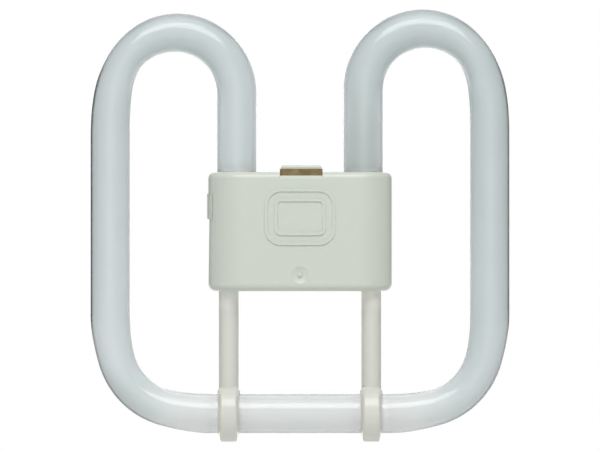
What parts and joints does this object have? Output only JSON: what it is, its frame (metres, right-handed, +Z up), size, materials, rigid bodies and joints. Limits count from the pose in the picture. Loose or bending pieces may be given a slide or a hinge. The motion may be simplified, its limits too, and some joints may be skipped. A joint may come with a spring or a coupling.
{
  "type": "square compact fluorescent lamp",
  "caption": "Flat square fluorescent lamp: one looped glass tube held by a central plug-in housing with rear contact pins and support arms clipped round the lower run.",
  "frame": {"origin": "middle of the four contact pins on the seating face of the rear plinth", "axes": "+Y out of the rear along the pins, +Z up the lamp towards the two loops, +X to the right when the front is looked at"},
  "size_m": [0.1368, 0.0349, 0.1412],
  "materials": {
    "coated_glass": "glossy glass tube with a white inner coating, opaque to the eye",
    "cream_plastic": "satin moulded plastic, pale cream",
    "arm_plastic": "satin moulded plastic, pale cream",
    "bronze_plate": "dull bronze strip",
    "pin_brass": "plain turned brass",
    "wire_metal": "drawn nickel wire",
    "sleeve_plastic": "woven sleeving, off-white",
    "bedding_compound": "set silicone compound, off-white"
  },
  "bodies": {
    "root": {"discharge_tube": "coated_glass", "front_cover": "cream_plastic", "rear_base": "cream_plastic", "catch_plate": "bronze_plate", "support_arm_left": "arm_plastic", "support_arm_right": "arm_plastic", "tube_bedding_left": "bedding_compound", "tube_bedding_right": "bedding_compound", "contact_pin_1": "pin_brass", "contact_pin_2": "pin_brass", "contact_pin_3": "pin_brass", "contact_pin_4": "pin_brass", "lead_wire_1": "wire_metal", "lead_wire_2": "wire_metal", "lead_wire_3": "wire_metal", "lead_wire_4": "wire_metal", "wire_sleeve_1": "sleeve_plastic", "wire_sleeve_2": "sleeve_plastic", "wire_sleeve_3": "sleeve_plastic", "wire_sleeve_4": "sleeve_plastic"}
  },
  "joints": []
}
